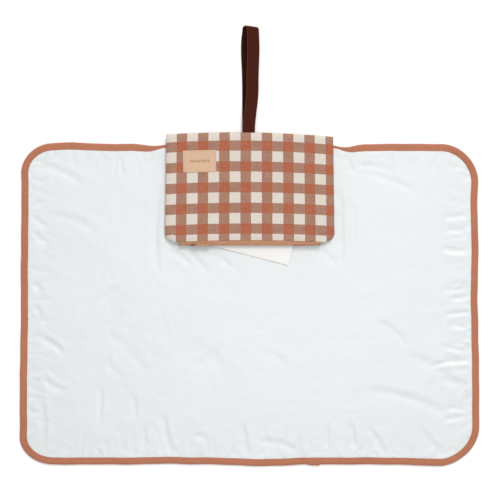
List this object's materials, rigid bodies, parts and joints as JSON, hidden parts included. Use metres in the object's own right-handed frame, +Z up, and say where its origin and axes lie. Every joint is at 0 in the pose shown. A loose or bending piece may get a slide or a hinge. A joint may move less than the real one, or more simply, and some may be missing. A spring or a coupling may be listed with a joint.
{
  "type": "changing pad",
  "caption": "Fold-out padded baby changing mat with a zipped pouch at its top edge and a leather wrist strap.",
  "frame": {"origin": "middle of the mat's underside, on the surface that it lies on", "axes": "+X to the right along the mat's length, +Y towards the pouch's top edge and the strap, +Z up out of the wipeable face"},
  "size_m": [0.68, 0.6545, 0.0172],
  "materials": {
    "wipeable_sheet": "smooth coated cloth",
    "padding": "soft polyester filling",
    "gingham_cloth": "woven cotton check",
    "binding_tape": "woven bias binding",
    "zip_tape": "woven zip tape",
    "zip_coil": "nylon coil",
    "zip_metal": "aged brass",
    "tan_leather": "smooth tan leather",
    "brown_leather": "smooth dark brown leather",
    "wipe_cloth": "soft nonwoven"
  },
  "bodies": {
    "centre": {"centre_top_sheet": "wipeable_sheet", "centre_padding": "padding", "centre_back_cloth": "gingham_cloth", "centre_binding_top": "binding_tape", "centre_binding_bottom": "binding_tape", "pouch_hinge_cloth": "gingham_cloth"},
    "left_wing": {"left_top_sheet": "wipeable_sheet", "left_padding": "padding", "left_back_cloth": "gingham_cloth", "left_binding": "binding_tape"},
    "right_wing": {"right_top_sheet": "wipeable_sheet", "right_padding": "padding", "right_back_cloth": "gingham_cloth", "right_binding": "binding_tape"},
    "pouch": {"pouch_front": "gingham_cloth", "pouch_back": "gingham_cloth", "pouch_gusset": "gingham_cloth", "zip_tape_front": "zip_tape", "zip_tape_back": "zip_tape", "zip_coil_front": "zip_coil", "zip_coil_back": "zip_coil", "zip_bottom_stop": "zip_metal", "zip_top_stops": "zip_metal", "label": "tan_leather"},
    "slider": {"zip_slider": "zip_metal"},
    "pull_tab": {"zip_pull": "zip_metal"},
    "strap": {"strap_loop": "brown_leather"},
    "wipe": {"wipe_sheet": "wipe_cloth"}
  },
  "joints": [
    {"name": "left_wing_fold", "type": "hinge", "parent": "centre", "child": "left_wing", "pos_m": [-0.126, 0, 0.0109], "axis": [0, 1, 0], "range_deg": [0, 180]},
    {"name": "right_wing_fold", "type": "hinge", "parent": "centre", "child": "right_wing", "pos_m": [0.126, 0, 0.0133], "axis": [0, -1, 0], "range_deg": [0, 180]},
    {"name": "pouch_flap", "type": "hinge", "parent": "centre", "child": "pouch", "pos_m": [0, 0.255, 0.0126], "axis": [-1, 0, 0], "range_deg": [0, 180]},
    {"name": "strap_swing", "type": "hinge", "parent": "centre", "child": "strap", "pos_m": [0, 0.2575, 0.0091], "axis": [-1, 0, 0], "range_deg": [-90, 90]},
    {"name": "zip_run", "type": "slide", "parent": "pouch", "child": "slider", "axis": [1, 0, 0], "range_m": [-0.0147, 0.1807]},
    {"name": "pull_tab_flip", "type": "hinge", "parent": "slider", "child": "pull_tab", "pos_m": [-0.083, 0.08925, 0.0157], "axis": [0, -1, 0], "range_deg": [0, 180]},
    {"name": "wipe_draw", "type": "slide", "parent": "pouch", "child": "wipe", "axis": [0, -1, 0], "range_m": [0, 0.12]}
  ]
}
